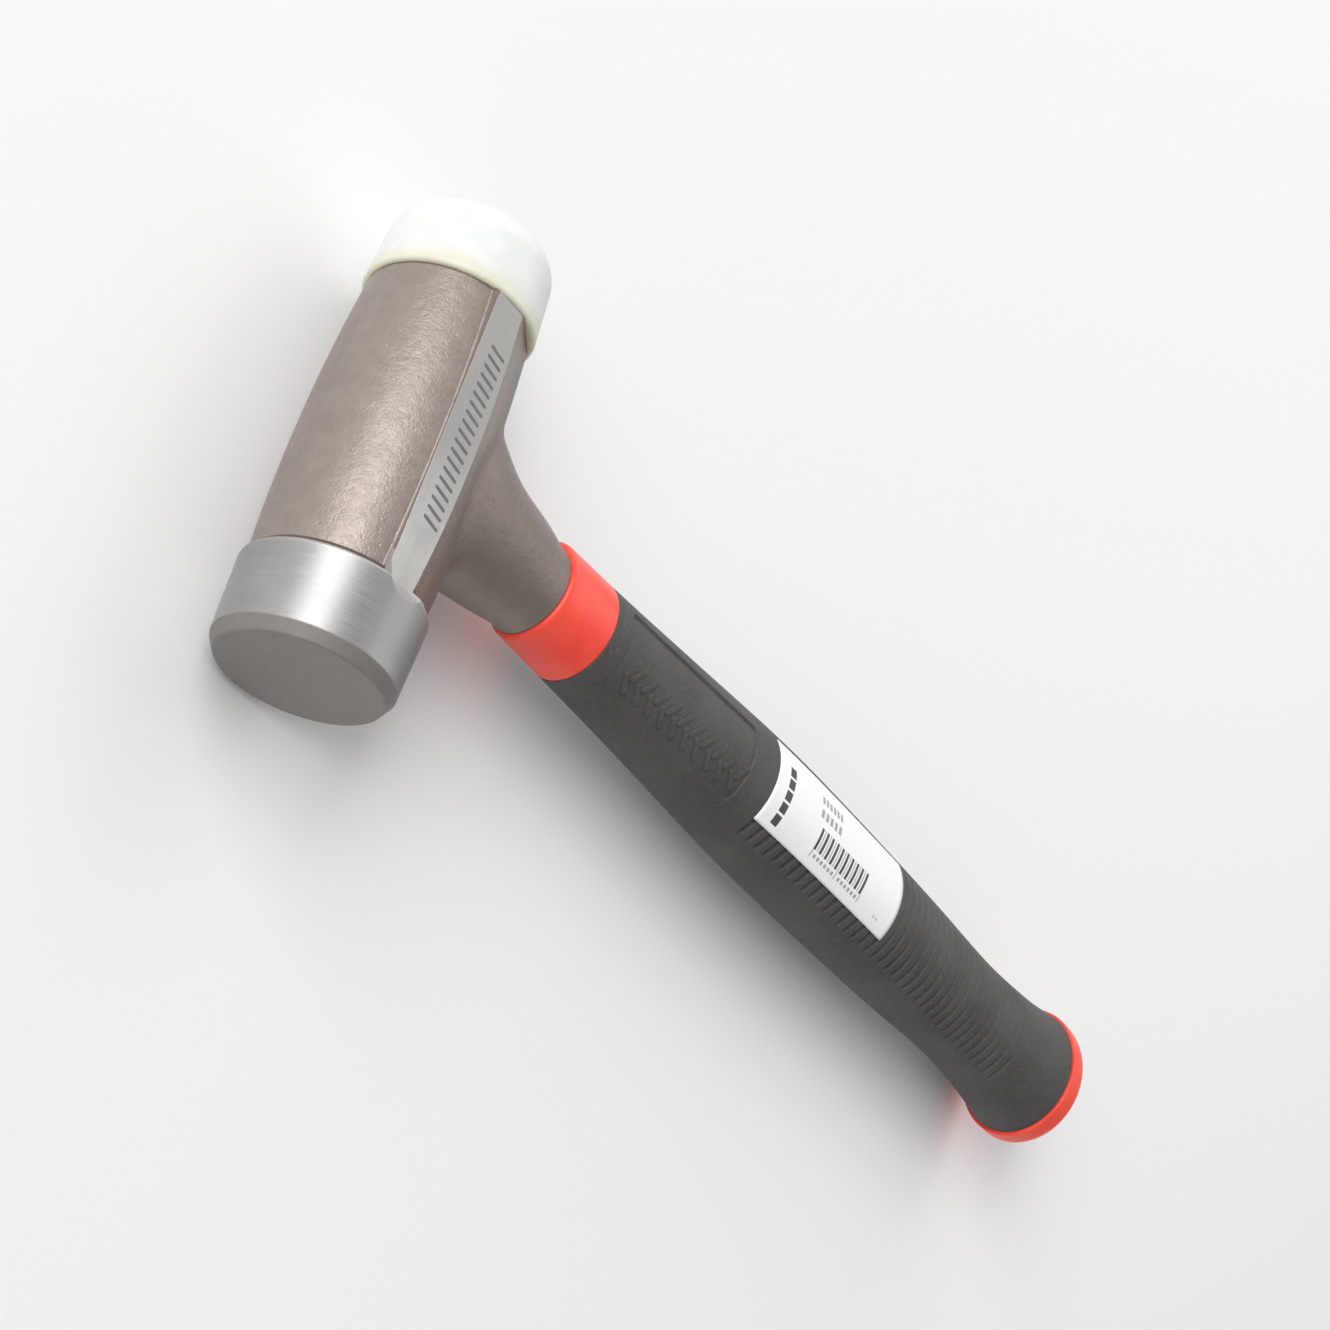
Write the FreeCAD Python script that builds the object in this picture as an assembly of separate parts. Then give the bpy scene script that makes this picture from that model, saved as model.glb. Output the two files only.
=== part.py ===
import FreeCAD, Part
import math
import os

# Combination dead-blow hammer lying on its side, in millimetres.
# Working frame: the head's axis is X, from the steel face (x = 0) to the nylon face.
# The handle hangs along -Y, and the ground side pads face +Z and -Z.
# place() moves every piece so that the origin is the middle of the bounding box's base.

# Head, along X
FACE_RADIUS = 17.5
FACE_CHAMFER_LENGTH = 2.8
BAND_FRONT_RADIUS = 19.1
BAND_RADIUS = 19.8
BAND_END = 19.4
BARREL_START = 20.7
BARREL_START_RADIUS = 18.5
BARREL_MIDDLE = 50.0
BARREL_RADIUS = 19.6
BARREL_END = 88.5
BARREL_END_RADIUS = 18.0
FACE_EDGE_ROUND = 0.7
BAND_EDGE_ROUND = 0.5

# Ground side pads and the forged flanks under them
PAD_TOP = 5.95
PAD_BOTTOM = -6.5
PAD_HEIGHT = 19.2
PAD_START = 17.8
PAD_SHOULDER_ROUND = 0.6
PAD_RUN_OUT = 3.0
PAD_RUN_OUT_RISE = 0.6
PAD_SKIRT = [(PAD_START, 19.65), (BAND_END, 19.72), (24.0, 20.4), (BARREL_END, 20.4)]
PAD_FOOT_ROUND = 0.5
PAD_CORNER_ROUND = 1.8
PAD_EDGE_ROUND = 0.1
PAD_EDGE_ENDS = -1.9
PAD_EDGE_MIDDLE = -4.0
FLANK_START = 19.75
FLANK_ANGLE = 33.0
FLANK_ABOVE = 2.0
FLANK_BELOW = 20.0

# Neck, as sections: distance below the head's axis, half width along X,
# half width along Z, and how far the section's middle is shifted along X
HANDLE_X = 54.4
NECK_END = 50.0
NECK_SECTIONS = [
    (5.0, 27.5, 14.6, 0.0),
    (12.0, 24.4, 15.0, 0.0),
    (16.0, 22.0, 14.8, 0.0),
    (20.5, 18.75, 14.3, 0.0),
    (26.0, 15.75, 13.6, -0.2),
    (33.0, 14.2, 12.6, -0.35),
    (44.0, 12.3, 11.1, -0.2),
    (NECK_END, 11.7, 10.4, -0.35),
]
NECK_EDGE_ROUND = 0.5
NECK_BLEND = 6.0

# Shot chamber, closing plug and nylon face
CHAMBER_RADIUS = 12.0
CHAMBER_START = 24.0
CHAMBER_END = 69.5
PLUG_BORE_RADIUS = 13.5
SEAL_THICKNESS = 1.5
SEAL_INNER_RADIUS = 11.4
PLUG_LENGTH = 8.0
SPANNER_HOLE_RADIUS = 1.5
SPANNER_HOLE_CIRCLE = 9.5
SPANNER_HOLE_DEPTH = 4.0
STUD_RADIUS = 5.0
STUD_PITCH = 1.5
STUD_THREAD_DEPTH = 0.6
STUD_START = 72.0
STUD_END = 100.5
NYLON_END = 109.6
NYLON_RADIUS = 19.1
NYLON_FACE_RADIUS = 17.8
NYLON_EDGE_ROUND = 8.0
NYLON_SEAT_ROUND = 0.8
SPIGOT_RADIUS = 13.4
SPIGOT_START = 79.5

# Shot charge: staggered rings of balls
BALL_RADIUS = 2.9
OUTER_RING_RADIUS = 8.9
OUTER_RING_COUNT = 9
INNER_RING_RADIUS = 3.5
INNER_RING_COUNT = 3
RING_PITCH = 5.25
RING_LAYERS = 6
SHOT_CLEARANCE = 0.3
SHOT_START = CHAMBER_START + SHOT_CLEARANCE

# Tubular shaft and what holds it in the neck
SOCKET_RADIUS = 8.6
SOCKET_TOP = 16.0
TUBE_RADIUS = 8.0
TUBE_BORE_RADIUS = 6.5
TUBE_TOP = 16.5
EXPANDER_LENGTH = 14.0
EXPANDER_TAPER = 0.4

# Grip, as sections: distance below the head's axis, half width along X,
# and how far the section's middle is shifted along X
COLLAR_TOP = 50.0
COLLAR_BOTTOM = 66.8
COLLAR_TOP_HALF_WIDTH = 12.7
COLLAR_EDGE_ROUND = 1.3
CORE_RADIUS = 9.8
GRIP_ASPECT = 0.885
GRIP_BOTTOM = 294.1
GRIP_SECTIONS = [
    (COLLAR_BOTTOM, 13.2, 0.05),
    (78.0, 13.6, 0.15),
    (90.0, 14.1, 0.3),
    (115.0, 15.3, 0.5),
    (140.0, 16.45, 0.55),
    (166.0, 16.8, 0.45),
    (196.0, 16.6, 0.35),
    (228.0, 16.0, 0.25),
    (258.0, 15.3, 0.3),
    (272.0, 15.95, 0.25),
    (283.0, 16.95, 0.1),
    (GRIP_BOTTOM, 18.55, 0.15),
]
PANEL_LEFT = -11.3
PANEL_RIGHT = 8.2
PANEL_TOP = 72.5
PANEL_BOTTOM = 123.7
PANEL_CORNER = 2.2
PANEL_DEPTH = 0.5
GROOVE_COUNT = 39
GROOVE_START = 133.5
GROOVE_PITCH = 3.54
GROOVE_WIDTH = 1.1
GROOVE_END_ROUND = 0.5
GROOVE_HALF_LENGTH = 14.3
GROOVE_DEPTH = 0.6

# Red end cap
CAP_HALF_WIDTH = 19.3
CAP_SHIFT = 0.05
CAP_LENGTH = 9.3
CAP_EDGE_ROUND = 5.5
CAP_SPIGOT_RADIUS = 6.45
CAP_SPIGOT_LENGTH = 16.0

# Paper label on the upper side of the grip
LABEL_THICKNESS = 0.15
LABEL_LEFT = -10.0
LABEL_RIGHT = 11.3
LABEL_TOP = 133.0
LABEL_BOTTOM = 194.7
LABEL_CORNER = 0.8

# Half the height of a block that is certain to pass right through the hammer
REACH = 30.0

# How closely an edge must lie to a place to count as being there
NEAR = 0.01
CONTACT = 0.001

X_AXIS = FreeCAD.Vector(1, 0, 0)
Y_AXIS = FreeCAD.Vector(0, 1, 0)
Z_AXIS = FreeCAD.Vector(0, 0, 1)


def point(x, y, z=0.0):
    return FreeCAD.Vector(x, y, z)


def line(start, end):
    return Part.LineSegment(start, end).toShape()


def polygon_face(points):
    return Part.Face(Part.makePolygon(points + points[:1]))


def cylinder_x(radius, start, end, centre_y=0.0, centre_z=0.0):
    base = point(start, centre_y, centre_z)
    return Part.makeCylinder(radius, end - start, base, X_AXIS)


def cylinder_down(radius, top, bottom):
    """A cylinder on the handle's axis between two depths below the head's axis."""
    return Part.makeCylinder(radius, bottom - top, point(HANDLE_X, -bottom), Y_AXIS)


def ellipse_wire(depth, half_x, half_z, shift=0.0):
    """An ellipse across the handle at one depth, with its long axis along X."""
    centre = point(HANDLE_X + shift, -depth)
    ellipse = Part.Ellipse(centre + X_AXIS * half_x, centre + Z_AXIS * half_z, centre)
    return Part.Wire([ellipse.toShape()])


def edges_where(shape, test):
    return [edge for edge in shape.Edges if test(edge)]


def rounded_plate(left, right, top, bottom, corner):
    """A block through the handle whose outline, seen along Z, is a rounded rectangle."""
    x0 = HANDLE_X + left
    x1 = HANDLE_X + right
    plate = Part.makeBox(x1 - x0, bottom - top, 2 * REACH, point(x0, -bottom, -REACH))
    upright = edges_where(plate, lambda edge: edge.BoundBox.ZLength > REACH)
    return plate.makeFillet(corner, upright)


def is_ring_at(x, radius):
    """A test for circular edges around the head's axis at one x and radius."""
    def test(edge):
        box = edge.BoundBox
        flat = box.XLength < NEAR and abs(box.XMin - x) < NEAR
        return flat and abs(box.YMax - radius) < NEAR and box.YLength > radius
    return test


def barrel():
    """The turned outline of the head, with the proud steel face band at its front."""
    corners = [
        point(0, 0),
        point(0, FACE_RADIUS),
        point(FACE_CHAMFER_LENGTH, BAND_FRONT_RADIUS),
        point(BAND_END, BAND_RADIUS),
        point(BARREL_START, BARREL_START_RADIUS),
    ]
    end = point(BARREL_END, BARREL_END_RADIUS)
    edges = [line(a, b) for a, b in zip(corners, corners[1:])]
    edges.append(Part.Arc(corners[-1], point(BARREL_MIDDLE, BARREL_RADIUS), end).toShape())
    edges.append(line(end, point(BARREL_END, 0)))
    edges.append(line(point(BARREL_END, 0), point(0, 0)))
    solid = Part.Face(Part.Wire(edges)).revolve(point(0, 0), X_AXIS, 360)
    face_edges = edges_where(solid, is_ring_at(0, FACE_RADIUS))
    face_edges += edges_where(solid, is_ring_at(FACE_CHAMFER_LENGTH, BAND_FRONT_RADIUS))
    solid = solid.makeFillet(FACE_EDGE_ROUND, face_edges)
    band_edges = edges_where(solid, is_ring_at(BAND_END, BAND_RADIUS))
    return solid.makeFillet(BAND_EDGE_ROUND, band_edges)


def flank_cutter(side):
    """A slanting block that trims the barrel under one side pad, up to the pad's curved edge."""
    slope = math.radians(FLANK_ANGLE)
    lift = point(0, math.cos(slope), side * math.sin(slope)) * FLANK_ABOVE
    height = side * PAD_HEIGHT
    end_x = BARREL_END + NEAR
    start = point(FLANK_START, PAD_EDGE_ENDS, height) + lift
    middle = point((FLANK_START + end_x) / 2, PAD_EDGE_MIDDLE, height) + lift
    end = point(end_x, PAD_EDGE_ENDS, height) + lift
    far_end = point(end_x, -REACH, height) + lift
    far_start = point(FLANK_START, -REACH, height) + lift
    edges = [
        Part.Arc(start, middle, end).toShape(),
        line(end, far_end),
        line(far_end, far_start),
        line(far_start, start),
    ]
    fall = point(0, -math.cos(slope), -side * math.sin(slope))
    return Part.Face(Part.Wire(edges)).extrude(fall * (FLANK_ABOVE + FLANK_BELOW))


def pad_skirt():
    """A turned envelope that lets the pads run smoothly out of the band."""
    rim = [point(x, radius) for x, radius in PAD_SKIRT]
    outline = [point(rim[0].x, 0)] + rim + [point(rim[-1].x, 0)]
    return polygon_face(outline).revolve(point(0, 0), X_AXIS, 360)


def side_pads():
    """One block through the barrel whose ends are the two flat side pads."""
    round_centre = BAND_END + PAD_SHOULDER_ROUND
    shoulder_y = PAD_TOP + PAD_SHOULDER_ROUND
    diagonal = PAD_SHOULDER_ROUND * math.sqrt(0.5)
    arc_start = point(BAND_END, shoulder_y, -PAD_HEIGHT)
    arc_middle = point(round_centre - diagonal, shoulder_y - diagonal, -PAD_HEIGHT)
    arc_end = point(round_centre, PAD_TOP, -PAD_HEIGHT)
    corners = [
        arc_end,
        point(BARREL_END, PAD_TOP, -PAD_HEIGHT),
        point(BARREL_END, PAD_BOTTOM, -PAD_HEIGHT),
        point(PAD_START, PAD_BOTTOM, -PAD_HEIGHT),
        point(PAD_START, shoulder_y, -PAD_HEIGHT),
        arc_start,
    ]
    edges = [line(a, b) for a, b in zip(corners, corners[1:])]
    edges.append(Part.Arc(arc_start, arc_middle, arc_end).toShape())
    block = Part.Face(Part.Wire(edges)).extrude(Z_AXIS * (2 * PAD_HEIGHT))
    return block.common(pad_skirt())


def pad_cutter(side):
    """The grinding cut that brings the barrel's bulge down to one pad's plane."""
    start = BAND_END - PAD_RUN_OUT
    outline = [
        point(start, PAD_BOTTOM, side * (PAD_HEIGHT + PAD_RUN_OUT_RISE)),
        point(BAND_END, PAD_BOTTOM, side * PAD_HEIGHT),
        point(BARREL_END, PAD_BOTTOM, side * PAD_HEIGHT),
        point(BARREL_END, PAD_BOTTOM, side * REACH),
        point(start, PAD_BOTTOM, side * REACH),
    ]
    return polygon_face(outline).extrude(Y_AXIS * (PAD_TOP - PAD_BOTTOM))


def is_along_upper_wall(edge):
    """True for the long edges at the foot and the top of the pads' upper walls."""
    box = edge.BoundBox
    along = box.XLength > (BARREL_END - BARREL_START) / 2
    return along and box.YLength < NEAR and abs(box.YMin - PAD_TOP) < NEAR


def is_at_pad_height(edge):
    box = edge.BoundBox
    return box.ZLength < NEAR and abs(abs(box.ZMin) - PAD_HEIGHT) < NEAR


def is_pad_foot(edge):
    return is_along_upper_wall(edge) and not is_at_pad_height(edge)


def is_pad_top(edge):
    return is_along_upper_wall(edge) and is_at_pad_height(edge)


def is_pad_end(edge):
    box = edge.BoundBox
    at_end = box.XMin > BARREL_END - NEAR
    return at_end and box.YLength > PAD_FOOT_ROUND and is_at_pad_height(edge)


def neck():
    wires = [ellipse_wire(*section) for section in NECK_SECTIONS]
    return Part.makeLoft(wires, True, False)


def is_neck_end(edge):
    box = edge.BoundBox
    return box.YLength < NEAR and abs(box.YMin + NECK_END) < NEAR


def touches(shell, edge):
    middle = edge.valueAt((edge.FirstParameter + edge.LastParameter) / 2)
    return shell.distToShape(Part.Vertex(middle))[0] < CONTACT


def head_forging():
    body = barrel().fuse(side_pads())
    for side in (1, -1):
        body = body.cut(flank_cutter(side))
    for side in (1, -1):
        body = body.cut(pad_cutter(side))
    body = body.removeSplitter()
    body = body.makeFillet(PAD_FOOT_ROUND, edges_where(body, is_pad_foot))
    body = body.makeFillet(PAD_CORNER_ROUND, edges_where(body, is_pad_end))
    body = body.makeFillet(PAD_EDGE_ROUND, edges_where(body, is_pad_top))
    barrel_skin = body.Shells[0]
    neck_solid = neck()
    neck_skin = neck_solid.Shells[0]
    body = body.fuse(neck_solid).removeSplitter()
    seam = [edge for edge in body.Edges if touches(barrel_skin, edge) and touches(neck_skin, edge)]
    body = body.makeFillet(NECK_BLEND, seam)
    body = body.makeFillet(NECK_EDGE_ROUND, edges_where(body, is_neck_end))
    chamber = cylinder_x(CHAMBER_RADIUS, CHAMBER_START, BARREL_END)
    plug_bore = cylinder_x(PLUG_BORE_RADIUS, CHAMBER_END, BARREL_END)
    socket = cylinder_down(SOCKET_RADIUS, SOCKET_TOP, NECK_END)
    return body.cut(chamber).cut(plug_bore).cut(socket)


def stud_hole(start, end):
    return cylinder_x(STUD_RADIUS, start, end)


def nylon_face():
    """The screw-on nylon face with its locating spigot."""
    round_start = NYLON_END - NYLON_EDGE_ROUND
    shoulder = point(round_start, NYLON_FACE_RADIUS)
    face_radius = NYLON_FACE_RADIUS - NYLON_EDGE_ROUND
    face_edge = point(NYLON_END, face_radius)
    diagonal = NYLON_EDGE_ROUND * math.sqrt(0.5)
    round_middle = point(round_start + diagonal, face_radius + diagonal)
    edges = [
        line(point(BARREL_END, NYLON_RADIUS), shoulder),
        Part.Arc(shoulder, round_middle, face_edge).toShape(),
        line(face_edge, point(NYLON_END, 0)),
        line(point(NYLON_END, 0), point(SPIGOT_START, 0)),
        line(point(SPIGOT_START, 0), point(SPIGOT_START, SPIGOT_RADIUS)),
        line(point(SPIGOT_START, SPIGOT_RADIUS), point(BARREL_END, SPIGOT_RADIUS)),
        line(point(BARREL_END, SPIGOT_RADIUS), point(BARREL_END, NYLON_RADIUS)),
    ]
    solid = Part.Face(Part.Wire(edges)).revolve(point(0, 0), X_AXIS, 360)
    seat = edges_where(solid, is_ring_at(BARREL_END, NYLON_RADIUS))
    solid = solid.makeFillet(NYLON_SEAT_ROUND, seat)
    return solid.cut(stud_hole(SPIGOT_START, STUD_END))


def face_stud():
    """A threaded stud, its thread drawn as rings one pitch apart."""
    root = STUD_RADIUS - STUD_THREAD_DEPTH
    turns = int((STUD_END - STUD_START) / STUD_PITCH)
    outline = [point(STUD_START, 0), point(STUD_START, root)]
    for turn in range(turns):
        x = STUD_START + turn * STUD_PITCH
        outline.append(point(x + STUD_PITCH / 2, STUD_RADIUS))
        outline.append(point(x + STUD_PITCH, root))
    outline.append(point(STUD_START + turns * STUD_PITCH, 0))
    return polygon_face(outline).revolve(point(0, 0), X_AXIS, 360)


def plug_seal():
    ring = cylinder_x(PLUG_BORE_RADIUS, CHAMBER_END, CHAMBER_END + SEAL_THICKNESS)
    return ring.cut(cylinder_x(SEAL_INNER_RADIUS, CHAMBER_END, CHAMBER_END + SEAL_THICKNESS))


def chamber_plug():
    start = CHAMBER_END + SEAL_THICKNESS
    end = start + PLUG_LENGTH
    plug = cylinder_x(PLUG_BORE_RADIUS, start, end)
    plug = plug.cut(stud_hole(STUD_START, end))
    for side in (1, -1):
        offset = side * SPANNER_HOLE_CIRCLE
        hole = cylinder_x(SPANNER_HOLE_RADIUS, end - SPANNER_HOLE_DEPTH, end, offset)
        plug = plug.cut(hole)
    return plug


def ball_ring(x, ring_radius, count, turn):
    balls = []
    for index in range(count):
        angle = turn + 2 * math.pi * index / count
        centre = point(x, ring_radius * math.cos(angle), ring_radius * math.sin(angle))
        balls.append(Part.makeSphere(BALL_RADIUS, centre))
    return balls


def steel_shot():
    balls = []
    for layer in range(RING_LAYERS):
        outer_x = SHOT_START + BALL_RADIUS + layer * RING_PITCH
        inner_x = outer_x + RING_PITCH / 2
        outer_turn = math.pi / OUTER_RING_COUNT * (layer % 2)
        inner_turn = math.pi / INNER_RING_COUNT * (layer % 2)
        balls += ball_ring(outer_x, OUTER_RING_RADIUS, OUTER_RING_COUNT, outer_turn)
        balls += ball_ring(inner_x, INNER_RING_RADIUS, INNER_RING_COUNT, inner_turn)
    return Part.makeCompound(balls)


def shaft_tube():
    tube = cylinder_down(TUBE_RADIUS, TUBE_TOP, GRIP_BOTTOM)
    return tube.cut(cylinder_down(TUBE_BORE_RADIUS, TUBE_TOP, GRIP_BOTTOM))


def bonding_sleeve():
    """The layer of adhesive between the tube and the neck's socket."""
    sleeve = cylinder_down(SOCKET_RADIUS, TUBE_TOP, NECK_END)
    return sleeve.cut(cylinder_down(TUBE_RADIUS, TUBE_TOP, NECK_END))


def tube_expander():
    """A slightly tapered plug in the top of the tube."""
    bottom = TUBE_TOP + EXPANDER_LENGTH
    small = TUBE_BORE_RADIUS - EXPANDER_TAPER
    start = point(HANDLE_X, -bottom)
    return Part.makeCone(small, TUBE_BORE_RADIUS, EXPANDER_LENGTH, start, Y_AXIS)


def grip_loft(grow=0.0):
    wires = []
    for depth, half_x, shift in GRIP_SECTIONS:
        half_z = half_x * GRIP_ASPECT
        wires.append(ellipse_wire(depth, half_x + grow, half_z + grow, shift))
    return Part.makeLoft(wires, True, False)


def grip_collar():
    top_z = COLLAR_TOP_HALF_WIDTH * GRIP_ASPECT
    depth, bottom_x, shift = GRIP_SECTIONS[0]
    wires = [
        ellipse_wire(COLLAR_TOP, COLLAR_TOP_HALF_WIDTH, top_z, shift),
        ellipse_wire(depth, bottom_x, bottom_x * GRIP_ASPECT, shift),
    ]
    solid = Part.makeLoft(wires, True, True)
    top_edge = edges_where(solid, lambda edge: edge.BoundBox.YMin > -COLLAR_TOP - NEAR)
    solid = solid.makeFillet(COLLAR_EDGE_ROUND, top_edge)
    return solid.cut(cylinder_down(TUBE_RADIUS, COLLAR_TOP, COLLAR_BOTTOM))


def grip_core():
    core = cylinder_down(CORE_RADIUS, COLLAR_BOTTOM, GRIP_BOTTOM)
    return core.cut(cylinder_down(TUBE_RADIUS, COLLAR_BOTTOM, GRIP_BOTTOM))


def grip_grooves():
    slots = []
    for index in range(GROOVE_COUNT):
        top = GROOVE_START + index * GROOVE_PITCH
        slot = rounded_plate(-GROOVE_HALF_LENGTH, GROOVE_HALF_LENGTH,
                             top, top + GROOVE_WIDTH, GROOVE_END_ROUND)
        slots.append(slot)
    return Part.makeCompound(slots)


def rubber_grip():
    """The soft grip: a swelling oval sleeve with a sunk panel and cross grooves."""
    outside = grip_loft()
    panel = rounded_plate(PANEL_LEFT, PANEL_RIGHT, PANEL_TOP, PANEL_BOTTOM, PANEL_CORNER)
    sunk_panel = panel.cut(grip_loft(-PANEL_DEPTH))
    sunk_grooves = grip_grooves().cut(grip_loft(-GROOVE_DEPTH))
    core = cylinder_down(CORE_RADIUS, COLLAR_BOTTOM, GRIP_BOTTOM)
    return outside.cut(core).cut(sunk_panel).cut(sunk_grooves)


def end_cap():
    half_z = CAP_HALF_WIDTH * GRIP_ASPECT
    wire = ellipse_wire(GRIP_BOTTOM, CAP_HALF_WIDTH, half_z, CAP_SHIFT)
    cap = Part.Face(wire).extrude(Y_AXIS * -CAP_LENGTH)
    end_y = -GRIP_BOTTOM - CAP_LENGTH
    end_edge = edges_where(cap, lambda edge: edge.BoundBox.YMax < end_y + NEAR)
    cap = cap.makeFillet(CAP_EDGE_ROUND, end_edge)
    spigot = cylinder_down(CAP_SPIGOT_RADIUS, GRIP_BOTTOM - CAP_SPIGOT_LENGTH, GRIP_BOTTOM)
    return cap.fuse(spigot)


def product_label():
    skin = grip_loft(LABEL_THICKNESS).cut(grip_loft())
    area = rounded_plate(LABEL_LEFT, LABEL_RIGHT, LABEL_TOP, LABEL_BOTTOM, LABEL_CORNER)
    patch = skin.common(area)
    upper = [solid for solid in patch.Solids if solid.CenterOfMass.z > 0]
    return upper[0]


def place(shape):
    """Move a piece so that the origin is the middle of the base of the bounding box."""
    overall_top = BAND_RADIUS
    overall_bottom = GRIP_BOTTOM + CAP_LENGTH
    middle_y = (overall_top - overall_bottom) / 2
    moved = shape.copy()
    moved.translate(FreeCAD.Vector(-NYLON_END / 2, -middle_y, BAND_RADIUS))
    return moved


PIECES = {
    "head_forging": head_forging,
    "nylon_face": nylon_face,
    "face_stud": face_stud,
    "plug_seal": plug_seal,
    "chamber_plug": chamber_plug,
    "steel_shot": steel_shot,
    "shaft_tube": shaft_tube,
    "bonding_sleeve": bonding_sleeve,
    "tube_expander": tube_expander,
    "grip_collar": grip_collar,
    "grip_core": grip_core,
    "rubber_grip": rubber_grip,
    "end_cap": end_cap,
    "product_label": product_label,
}

os.makedirs("parts", exist_ok=True)
for node, build in PIECES.items():
    piece = place(build())
    piece.exportStep("parts/" + node + ".step")
    print(node, "solids", len(piece.Solids), "volume", round(piece.Volume), "valid", piece.isValid())
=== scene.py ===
import math
import bpy
import numpy as np
from mathutils import Matrix, Vector


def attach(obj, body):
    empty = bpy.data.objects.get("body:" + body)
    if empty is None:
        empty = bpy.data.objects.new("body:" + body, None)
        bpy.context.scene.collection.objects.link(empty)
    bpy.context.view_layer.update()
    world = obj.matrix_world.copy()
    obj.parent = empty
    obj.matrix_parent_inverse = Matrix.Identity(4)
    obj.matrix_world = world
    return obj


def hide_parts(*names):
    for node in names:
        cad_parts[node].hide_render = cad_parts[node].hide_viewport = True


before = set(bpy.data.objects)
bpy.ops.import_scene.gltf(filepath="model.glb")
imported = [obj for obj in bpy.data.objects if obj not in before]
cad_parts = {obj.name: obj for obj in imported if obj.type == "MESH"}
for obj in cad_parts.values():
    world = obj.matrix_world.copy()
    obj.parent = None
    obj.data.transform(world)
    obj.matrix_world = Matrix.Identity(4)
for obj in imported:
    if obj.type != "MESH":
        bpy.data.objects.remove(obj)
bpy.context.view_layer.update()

# Lengths are in millimetres in the hammer's working frame, as in the CAD source: X runs along the
# head from the steel face, the handle hangs along -Y and the label faces +Z. Depth is the distance
# below the head's axis, along -Y. to_row() turns them into metres in the row frame.
MM = 0.001
HANDLE_X = 54.4

# Head
BAND_RADIUS = 19.8
BAND_END = 19.4
BARREL_START = 20.7
FACE_RIM = 3.0
PAD_HEIGHT = 19.2
PAD_TOP = 5.95
PAD_LOWER = -2.0
PAD_FRONT_RADIUS = 19.2
PAD_FRONT_END = 24.5
PAD_ROUND_START = 86.6
PAD_ROUND_HEIGHT = 17.75
# Painted highlight on the side pads: it fades in along the pads from the nylon's side and is full near
# the band.
PAD_HIGHLIGHT_FULL = 26.0
PAD_HIGHLIGHT_FADE = 58.0
NYLON_START = 88.5
NYLON_END = 109.6
NYLON_GAP = 0.02
NYLON_RADIUS = 19.1
NYLON_SEAT_ROUND = 0.9
NYLON_FACE_RADIUS = 17.6
NYLON_FACE_ROUND = 8.0

# Grip
GRIP_ASPECT = 0.885
GRIP_TOP = 66.8
GRIP_BOTTOM = 294.1
GRIP_EDGE = 0.45
# Grip sections: depth, half width along X, shift of the oval's middle along X
GRIP_SECTIONS = [
    (GRIP_TOP, 13.2, 0.05), (78.0, 13.6, 0.15), (90.0, 14.1, 0.3), (115.0, 15.3, 0.5),
    (140.0, 16.45, 0.55), (166.0, 16.8, 0.45), (196.0, 16.6, 0.35), (228.0, 16.0, 0.25),
    (258.0, 15.3, 0.3), (272.0, 15.95, 0.25), (283.0, 16.95, 0.1), (GRIP_BOTTOM, 18.55, 0.15),
]
CORE_RADIUS = 9.8
COLLAR_TOP = 50.0
COLLAR_TOP_HALF = 12.7
COLLAR_TOP_ROUND = 1.3
COLLAR_FOOT_ROUND = 0.3
COLLAR_SHIFT = 0.05
CAP_HALF = 19.3
CAP_SHIFT = 0.05
CAP_LENGTH = 9.3
CAP_END = GRIP_BOTTOM + CAP_LENGTH
CAP_TOP_ROUND = 0.4
CAP_ROUND = 5.5

# Sunk panel and cross grooves of the grip; left and right are distances from the handle's axis
PANEL_LEFT = -11.3
PANEL_RIGHT = 8.2
PANEL_TOP = 72.5
PANEL_BOTTOM = 123.7
PANEL_CORNER = 2.2
PANEL_DEPTH = 0.5
CREASE_DEPTH = 0.3
CREASE_INSET = 0.45
CREASE_WIDTH = 0.3
GROOVE_COUNT = 39
GROOVE_START = 133.5
GROOVE_PITCH = 3.54
GROOVE_WIDTH = 1.1
GROOVE_HALF_LENGTH = 14.3
GROOVE_DEPTH = 0.6
GROOVE_LEFT_SHORTER = 0.9
GROOVE_LEFT_WIDER = 0.2

# Mesh lines of the grip
BROAD_HALF = 12.4
BROAD_STEP = 0.4
PANEL_EDGE_LINES = (-0.4, -0.25, -0.1, 0.05, 0.2)
GROOVE_LINES = (-0.95, -0.7, -0.58, -0.46, -0.34, -0.2, 0.0, 0.2, 0.34, 0.46, 0.58, 0.7, 0.95,
                1.35, 1.75, 2.15)
SIDE_POINTS = 44
TURNED_POINTS = 192

# Raised chevrons in the panel. A stroke is (x, depth, x, depth), its depths from the chevron's top,
# and a layer is (inset, height).
CHEVRON_COUNT = 10
CHEVRON_TOP = 76.4
CHEVRON_PITCH = 4.7
CHEVRON_WIDTH = 1.35
CHEVRON_STROKES = [(-9.0, 2.4, -6.2, 0.0), (-6.2, 1.9, -3.1, 4.0)]
CHEVRON_LAYERS = [
    (-0.05, -0.3), (-0.05, 0.0), (0.02, 0.20), (0.10, 0.31), (0.22, 0.36), (0.5, 0.36), (1.0, 0.36),
]

# Etched strokes on the side pad
ETCH_START = 34.0
ETCH_PITCH = 2.3
ETCH_COUNT = 19
ETCH_BOTTOM = -1.6
ETCH_HEIGHT = 3.9
ETCH_SLANT = 0.7
ETCH_WIDTH = 0.8
ETCH_LAYERS = [(0.0, -0.05), (0.0, 0.012), (0.1, 0.014), (0.3, 0.014)]

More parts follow.
